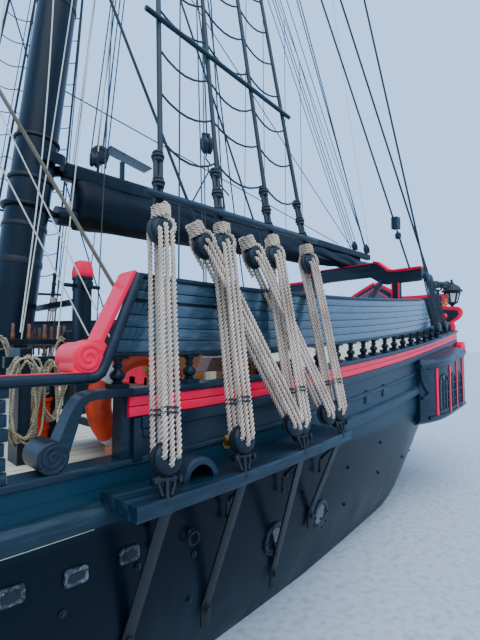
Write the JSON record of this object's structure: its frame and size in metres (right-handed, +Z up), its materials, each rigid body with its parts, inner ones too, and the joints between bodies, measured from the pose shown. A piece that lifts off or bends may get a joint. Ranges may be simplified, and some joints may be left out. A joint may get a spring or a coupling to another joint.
{
  "type": "two-masted gaff topsail schooner, full size, afloat",
  "caption": "Black-hulled wooden schooner with red trim, furled gaff sails, raked masts, channels with deadeyes and lanyards, quarter galleries, boom gallows, wheel-steered rudder and screw.",
  "frame": {"origin": "on the water line, on the centre plane, amidships", "axes": "+X forward, +Y to port, +Z up"},
  "size_m": [35.9462, 12.4, 33.6937],
  "materials": {
    "hull_paint": "blue-black gloss paint on planks, weathered satin",
    "red_trim": "scarlet gloss paint",
    "spar_paint": "black satin paint on spars",
    "deck_planks": "pale painted and worn planks",
    "varnished_wood": "varnished hardwood",
    "tarred_rope": "tarred and served rope",
    "lanyard_rope": "three-strand beige rope, weathered",
    "sail_cover": "black canvas cover",
    "iron": "black painted iron",
    "bronze": "dull bronze",
    "window_glass": "small dark panes",
    "gilt": "old gold paint on carving",
    "safety_orange": "orange moulded plastic"
  },
  "bodies": {
    "ship": {"hull": "hull_paint", "keel_and_stem": "hull_paint", "head_knee": "hull_paint", "waist_deck": "deck_planks", "quarterdeck": "deck_planks", "waist_bulwark_port": "hull_paint", "waist_bulwark_starboard": "hull_paint", "quarter_bulwark_port": "hull_paint", "quarter_bulwark_starboard": "hull_paint", "transom": "hull_paint", "quarter_gallery_port": "hull_paint", "quarter_gallery_starboard": "hull_paint", "main_channel_port": "hull_paint", "main_channel_starboard": "hull_paint", "fore_channel_port": "hull_paint", "fore_channel_starboard": "hull_paint", "main_shrouds_port": "tarred_rope", "main_shrouds_starboard": "tarred_rope", "fore_shrouds_port": "tarred_rope", "fore_shrouds_starboard": "tarred_rope", "backstays_port": "tarred_rope", "backstays_starboard": "tarred_rope", "forestay": "tarred_rope", "mainmast": "spar_paint", "foremast": "spar_paint", "main_topmast": "spar_paint", "fore_topmast": "spar_paint", "bowsprit": "spar_paint", "jibboom": "spar_paint", "main_fife_rail": "hull_paint", "fore_fife_rail": "hull_paint", "main_hatch": "hull_paint", "fore_hatch": "hull_paint", "skylight": "hull_paint", "companion": "hull_paint", "windlass_bitts": "hull_paint", "cathead_port": "iron", "cathead_starboard": "iron", "helm_stand": "hull_paint", "binnacle": "varnished_wood", "boom_gallows": "hull_paint"},
    "rudder": {"rudder": "hull_paint"},
    "wheel": {"steering_wheel": "varnished_wood"},
    "screw": {"screw": "bronze"},
    "main_boom": {"main_boom": "spar_paint", "main_gaff": "spar_paint", "main_sail_furled": "sail_cover"},
    "fore_boom": {"fore_boom": "spar_paint", "fore_gaff": "spar_paint", "fore_sail_furled": "sail_cover"},
    "fore_yard": {"fore_yard": "spar_paint"},
    "fore_topsail_yard": {"fore_topsail_yard": "spar_paint"},
    "windlass": {"windlass_barrel": "spar_paint"},
    "companion_door_port": {"companion_door_port": "red_trim"},
    "companion_door_starboard": {"companion_door_starboard": "red_trim"},
    "companion_slide": {"companion_slide": "hull_paint"},
    "swivel_gun_port": {"swivel_gun_port": "iron"},
    "swivel_gun_starboard": {"swivel_gun_starboard": "iron"}
  },
  "joints": [
    {"name": "rudder_turn", "type": "hinge", "parent": "ship", "child": "rudder", "pos_m": [-10.8116, 0, -2.8335], "axis": [-0.1988, 0, 0.98], "range_deg": [-35, 35]},
    {"name": "wheel_turn", "type": "hinge", "parent": "ship", "child": "wheel", "pos_m": [-9.9, 0, 3.30962], "axis": [1, 0, 0], "range_deg": [-540, 540]},
    {"name": "screw_spin", "type": "hinge", "parent": "ship", "child": "screw", "pos_m": [-10.035, 0, -1.55], "axis": [1, 0, 0], "continuous": true},
    {"name": "main_boom_swing", "type": "hinge", "parent": "ship", "child": "main_boom", "pos_m": [-3.91775, 0, 4.31], "axis": [-0.1062, 0, 0.9943], "range_deg": [-18, 18]},
    {"name": "fore_boom_swing", "type": "hinge", "parent": "ship", "child": "fore_boom", "pos_m": [5.062, 0, 4.5], "axis": [-0.0847, 0, 0.9964], "range_deg": [-40, 40]},
    {"name": "fore_yard_brace", "type": "hinge", "parent": "ship", "child": "fore_yard", "pos_m": [4.127, 0, 15.5], "axis": [-0.0847, 0, 0.9964], "range_deg": [-30, 30]},
    {"name": "fore_topsail_brace", "type": "hinge", "parent": "ship", "child": "fore_topsail_yard", "pos_m": [3.949, 0, 22.3], "axis": [-0.0847, 0, 0.9964], "range_deg": [-30, 30]},
    {"name": "windlass_turn", "type": "hinge", "parent": "ship", "child": "windlass", "pos_m": [8.6, 0, 2.85585], "axis": [0, 1, 0], "continuous": true},
    {"name": "companion_door_port_swing", "type": "hinge", "parent": "ship", "child": "companion_door_port", "pos_m": [-5.486, 0.42, 2.43], "axis": [0, 0, 1], "range_deg": [0, 110]},
    {"name": "companion_door_starboard_swing", "type": "hinge", "parent": "ship", "child": "companion_door_starboard", "pos_m": [-5.486, -0.42, 2.43], "axis": [0, 0, -1], "range_deg": [0, 110]},
    {"name": "companion_slide_run", "type": "slide", "parent": "ship", "child": "companion_slide", "axis": [-1, 0, 0], "range_m": [0, 0.6]},
    {"name": "swivel_gun_port_train", "type": "hinge", "parent": "ship", "child": "swivel_gun_port", "pos_m": [-11.25, 2.2998, 3.65], "axis": [0, 0, 1], "range_deg": [-60, 60]},
    {"name": "swivel_gun_starboard_train", "type": "hinge", "parent": "ship", "child": "swivel_gun_starboard", "pos_m": [-11.25, -2.2998, 3.65], "axis": [0, 0, -1], "range_deg": [-60, 60]}
  ],
  "couplings": [
    {"joint": "wheel_turn", "follows": "rudder_turn", "ratio": 15.4},
    {"joint": "fore_topsail_brace", "follows": "fore_yard_brace", "ratio": 1}
  ]
}
